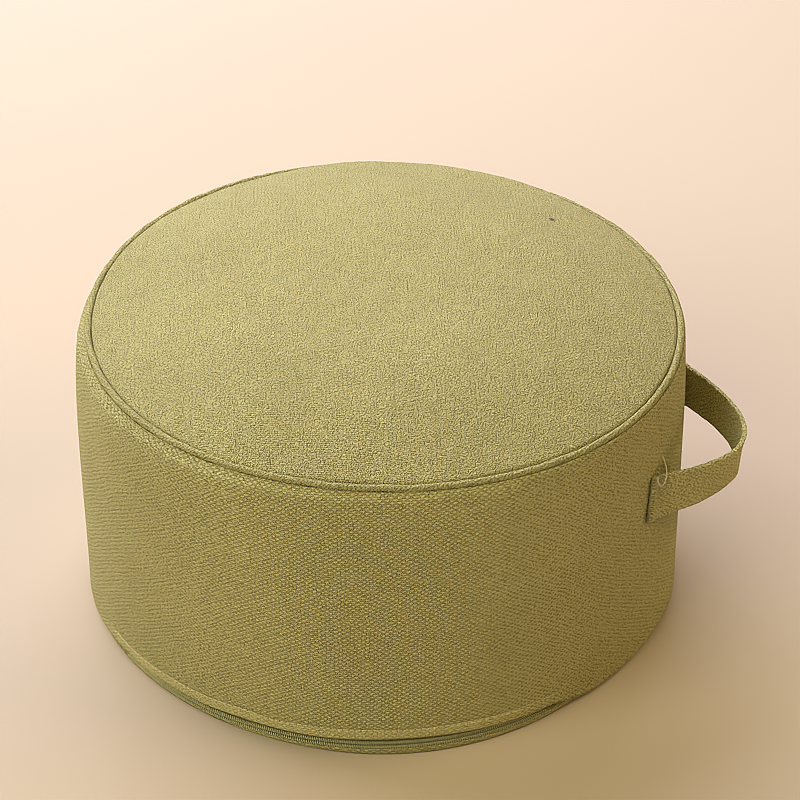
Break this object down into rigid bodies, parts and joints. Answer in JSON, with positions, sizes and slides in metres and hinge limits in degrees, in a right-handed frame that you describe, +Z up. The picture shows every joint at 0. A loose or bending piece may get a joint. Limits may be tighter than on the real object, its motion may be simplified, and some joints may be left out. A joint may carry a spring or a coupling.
{
  "type": "floor pouf",
  "caption": "Round stuffed floor pouf: crowned top with a corded seam, swollen side, flat base, zip in the foot seam and a carrying strap sewn on the side.",
  "frame": {"origin": "middle of the flat base, on the floor, under the middle of the corded seam's ring", "axes": "+Z up through the crown; +X towards the side that carries the strap; -Y towards the middle of the zip"},
  "size_m": [0.4371, 0.3986, 0.2377],
  "materials": {
    "cover_cloth": "coarse plain weave of slubby yarns, sage green, matt",
    "piping_cloth": "the same cloth cut on the bias over a cord",
    "zip_tape": "closely woven tape, darker green",
    "zip_coil": "nylon coil, dull",
    "strap_cloth": "the cover's cloth folded into a strip, edges turned in"
  },
  "bodies": {
    "root": {"cushion_body": "cover_cloth", "crown_piping": "piping_cloth", "zip_tape_upper": "zip_tape", "zip_tape_lower": "zip_tape", "zip_coil_upper": "zip_coil", "zip_coil_lower": "zip_coil", "handle_strap": "strap_cloth"}
  },
  "joints": []
}
